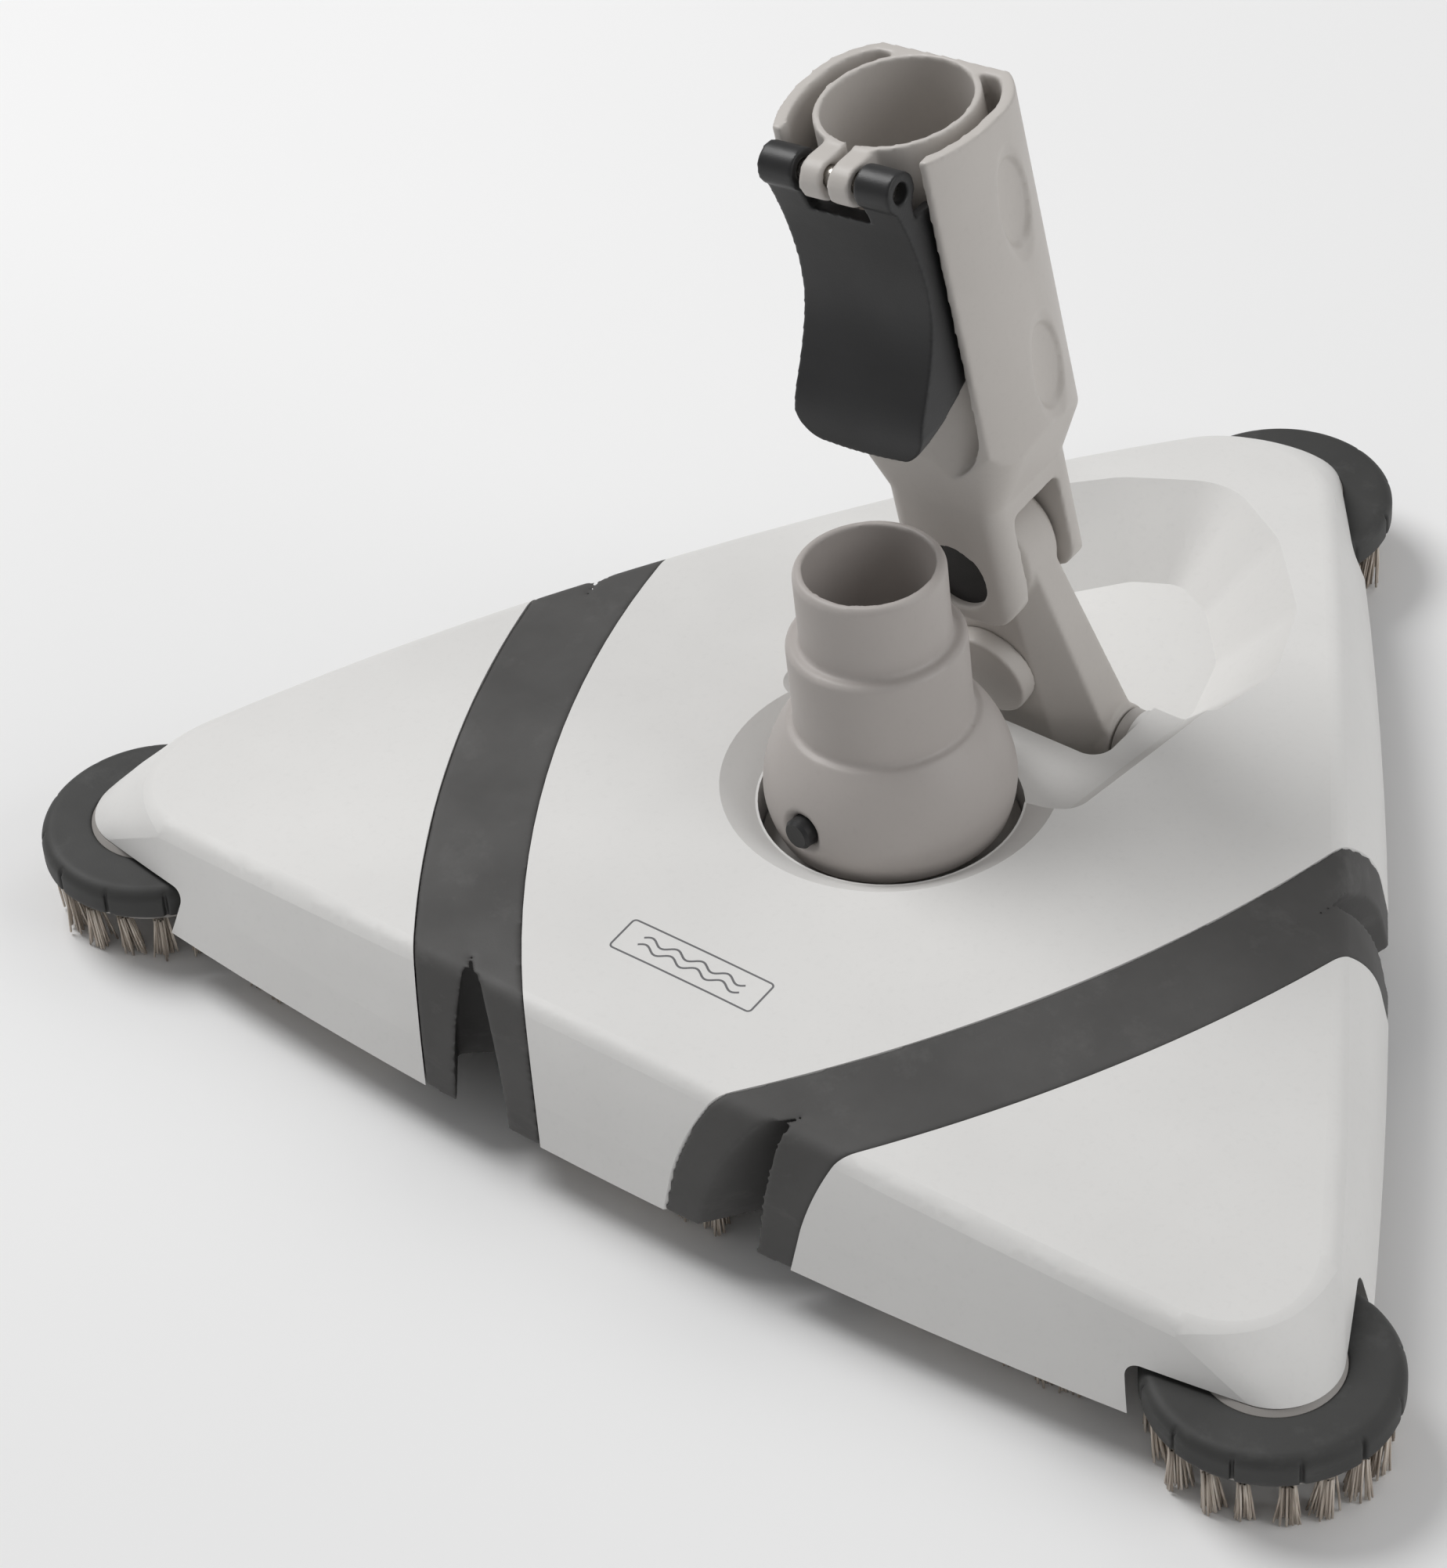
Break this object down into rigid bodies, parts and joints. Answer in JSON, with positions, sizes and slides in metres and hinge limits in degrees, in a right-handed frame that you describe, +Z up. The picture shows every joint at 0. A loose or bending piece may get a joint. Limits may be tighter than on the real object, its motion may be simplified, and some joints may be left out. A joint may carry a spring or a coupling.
{
  "type": "manual pool vacuum head",
  "caption": "Triangular weighted vacuum head with two flexing wings, corner brush wheels, a swivelling stepped hose cuff and a hinged cam-lock pole socket.",
  "frame": {"origin": "middle of the footprint at the floor, where the bristle tips touch", "axes": "+Z up, +Y towards the single rear wheel, +X towards the right-hand wing seen from above with the rear wheel at the top"},
  "size_m": [0.3396, 0.2818, 0.1953],
  "materials": {
    "shell": "fine satin moulded ABS",
    "base": "matte moulded plate",
    "hub": "satin moulded",
    "grey_plastic": "satin moulded",
    "inner_plastic": "satin moulded",
    "dark_plastic": "satin glass-filled",
    "rubber": "matte elastomer",
    "seal": "smooth elastomer",
    "bristle": "nylon filament",
    "ballast": "painted casting",
    "steel": "stainless"
  },
  "bodies": {
    "body": {"centre_shell": "shell", "centre_base": "base", "suction_throat": "inner_plastic", "turret_seal": "seal", "centre_base_screws": "steel", "centre_ballast": "ballast", "centre_brush_front": "bristle", "centre_brush_left": "bristle", "centre_brush_right": "bristle", "left_flex_band": "rubber", "right_flex_band": "rubber", "rear_wheel_bolt": "steel", "arm_pivot_pin": "steel", "arm_pivot_bushes": "inner_plastic"},
    "left_wing": {"left_wing_shell": "shell", "left_wing_base": "base", "left_wing_screws": "steel", "left_wing_ballast": "ballast", "left_wing_brush_front": "bristle", "left_wing_brush_side": "bristle", "left_wheel_bolt": "steel"},
    "right_wing": {"right_wing_shell": "shell", "right_wing_base": "base", "right_wing_screws": "steel", "right_wing_ballast": "ballast", "right_wing_brush_front": "bristle", "right_wing_brush_side": "bristle", "right_wheel_bolt": "steel"},
    "left_wheel": {"left_bumper_ring": "rubber", "left_wheel_hub": "hub", "left_wheel_bristles": "bristle", "left_wheel_load_tufts": "bristle"},
    "right_wheel": {"right_bumper_ring": "rubber", "right_wheel_hub": "hub", "right_wheel_bristles": "bristle", "right_wheel_load_tufts": "bristle"},
    "rear_wheel": {"rear_bumper_ring": "rubber", "rear_wheel_hub": "hub", "rear_wheel_bristles": "bristle", "rear_wheel_load_tufts": "bristle"},
    "turret": {"swivel_turret": "inner_plastic", "turret_retaining_ring": "inner_plastic", "connector_snap_pins": "dark_plastic"},
    "connector": {"hose_connector": "grey_plastic"},
    "arm": {"swing_arm": "grey_plastic", "arm_boss_cap": "grey_plastic"},
    "socket": {"pole_socket": "grey_plastic", "tilt_pin": "steel", "tilt_pin_plugs": "dark_plastic", "tilt_washers": "inner_plastic", "lever_pin": "steel"},
    "lever": {"cam_lever": "dark_plastic"}
  },
  "joints": [
    {"name": "left_wing_flex", "type": "hinge", "parent": "body", "child": "left_wing", "pos_m": [-0.06863, -0.0759, 0.038], "axis": [-0.4507, 0.8927, 0], "range_deg": [-5, 5], "stiffness_Nm_per_rad": 4, "deforming": ["left_flex_band"]},
    {"name": "right_wing_flex", "type": "hinge", "parent": "body", "child": "right_wing", "pos_m": [0.06863, -0.0759, 0.038], "axis": [0.4507, 0.8927, 0], "range_deg": [-5, 5], "stiffness_Nm_per_rad": 4, "deforming": ["right_flex_band"]},
    {"name": "left_wheel_spin", "type": "hinge", "parent": "left_wing", "child": "left_wheel", "pos_m": [-0.144, -0.1144, 0.018], "axis": [0, 0, 1], "continuous": true},
    {"name": "right_wheel_spin", "type": "hinge", "parent": "right_wing", "child": "right_wheel", "pos_m": [0.144, -0.1144, 0.018], "axis": [0, 0, 1], "continuous": true},
    {"name": "rear_wheel_spin", "type": "hinge", "parent": "body", "child": "rear_wheel", "pos_m": [0, 0.1151, 0.018], "axis": [0, 0, 1], "continuous": true},
    {"name": "turret_swivel", "type": "hinge", "parent": "body", "child": "turret", "pos_m": [0, -0.0379, 0.028], "axis": [0, 0, 1], "continuous": true},
    {"name": "connector_tilt", "type": "hinge", "parent": "turret", "child": "connector", "pos_m": [0, -0.0379, 0.047], "axis": [0.1392, 0.9903, 0], "range_deg": [-4.5, 11]},
    {"name": "handle_swing", "type": "hinge", "parent": "body", "child": "arm", "pos_m": [0, 0.0156, 0.029], "axis": [-1, 0, 0], "range_deg": [0, 70]},
    {"name": "socket_tilt", "type": "hinge", "parent": "arm", "child": "socket", "pos_m": [0, 0.0015, 0.0825], "axis": [0, 0.9973, 0.0732], "range_deg": [-35, 35]},
    {"name": "lever_open", "type": "hinge", "parent": "socket", "child": "lever", "pos_m": [-0.01335, -0.02808, 0.18627], "axis": [-0.9921, 0.0092, -0.125], "range_deg": [0, 110]}
  ]
}
